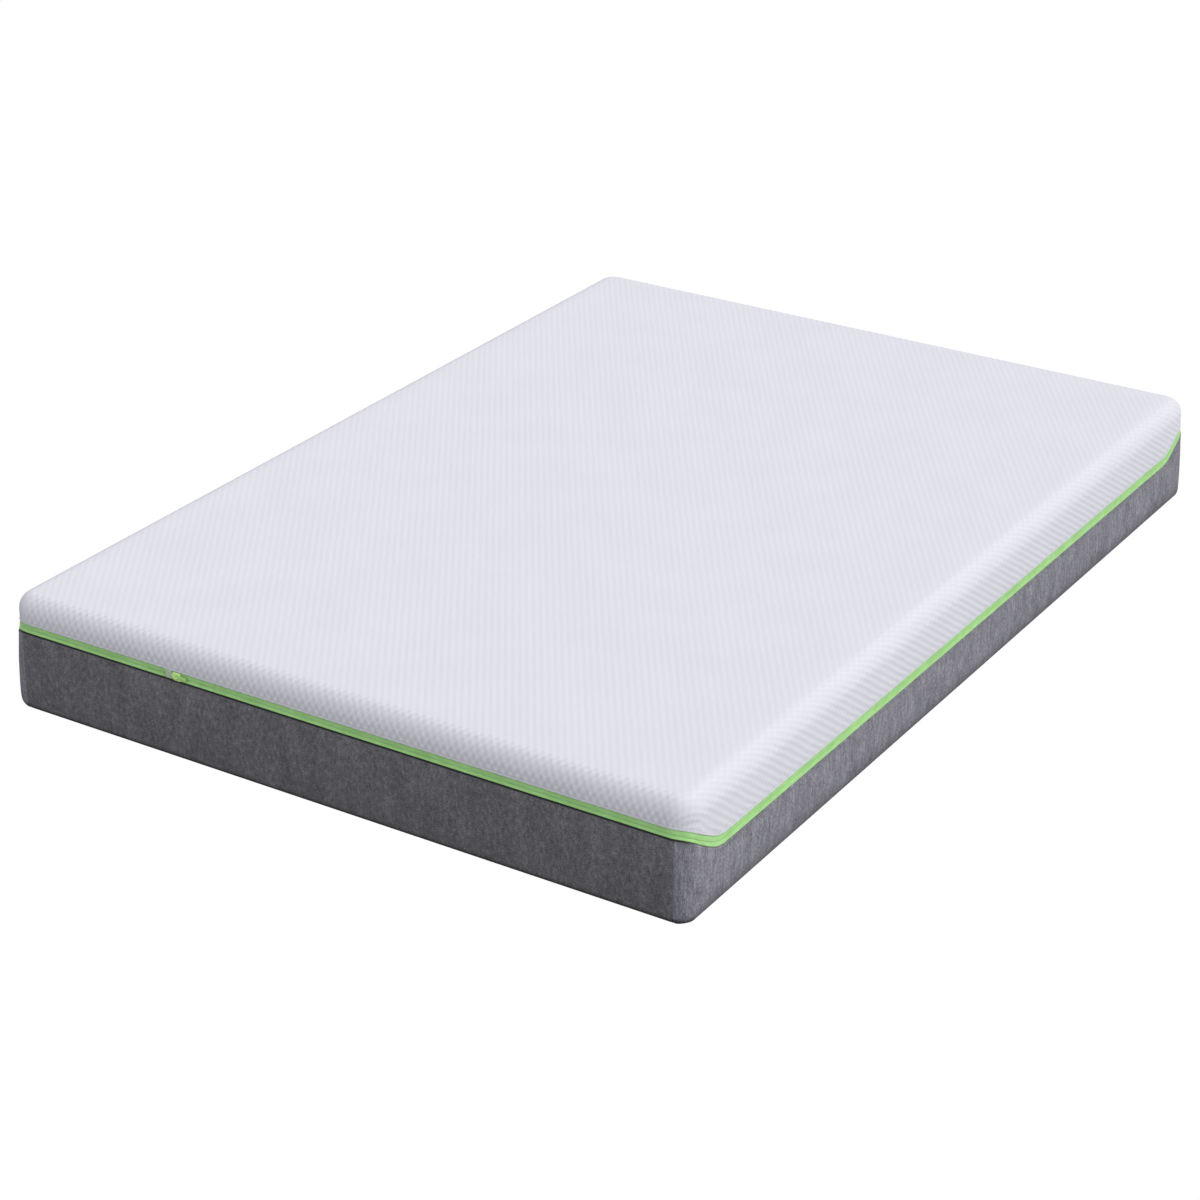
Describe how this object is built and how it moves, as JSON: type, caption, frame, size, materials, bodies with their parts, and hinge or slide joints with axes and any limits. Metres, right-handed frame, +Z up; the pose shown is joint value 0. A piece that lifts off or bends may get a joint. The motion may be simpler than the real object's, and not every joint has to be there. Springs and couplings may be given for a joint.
{
  "type": "mattress",
  "caption": "Foam mattress: layered foam core in a knitted top cover that zips all round to a grey woven base cover.",
  "frame": {"origin": "middle of the underside, on the floor", "axes": "+Y along the mattress's length, away from the end with the zip slider; +X across it; +Z up"},
  "size_m": [1.41, 2.0032, 0.224],
  "materials": {
    "knit_fabric": "soft matte knit",
    "border_fabric": "matte melange weave",
    "panel_fabric": "matte weave",
    "padding": "matte foam lamination",
    "wadding": "soft fibre",
    "zip_tape": "matte woven tape",
    "zip_coil": "satin nylon",
    "patch_fabric": "matte weave",
    "slider": "satin lacquer",
    "support_foam": "open-cell foam",
    "transition_foam": "open-cell foam",
    "memory_foam": "dense smooth foam"
  },
  "bodies": {
    "base_cover": {"bottom_panel": "panel_fabric", "front_border": "border_fabric", "back_border": "border_fabric", "left_border": "border_fabric", "right_border": "border_fabric", "border_padding": "padding", "lower_zip_tape": "zip_tape", "lower_zip_coil": "zip_coil", "lower_coil_stops": "zip_coil", "zip_end_patch": "patch_fabric"},
    "foam_core": {"support_foam_core": "support_foam", "transition_foam_layer": "transition_foam", "memory_foam_layer": "memory_foam"},
    "top_cover": {"knit_top_panel": "knit_fabric", "top_wadding": "wadding", "upper_zip_tape": "zip_tape", "upper_zip_coil": "zip_coil", "upper_coil_stops": "zip_coil"},
    "zip_slider": {"slider_body": "slider"},
    "zip_pull": {"pull_tab": "slider"}
  },
  "joints": [
    {"name": "core_lift", "type": "slide", "parent": "base_cover", "child": "foam_core", "axis": [0, 0, 1], "range_m": [0, 0.2]},
    {"name": "top_cover_lift", "type": "slide", "parent": "foam_core", "child": "top_cover", "axis": [0, 0, 1], "range_m": [0, 0.15]},
    {"name": "slider_travel", "type": "slide", "parent": "base_cover", "child": "zip_slider", "axis": [1, 0, 0], "range_m": [0, 0.95]},
    {"name": "pull_swing", "type": "hinge", "parent": "zip_slider", "child": "zip_pull", "pos_m": [-0.322, -1.0008, 0.165], "axis": [0, 0, -1], "range_deg": [0, 175]}
  ]
}
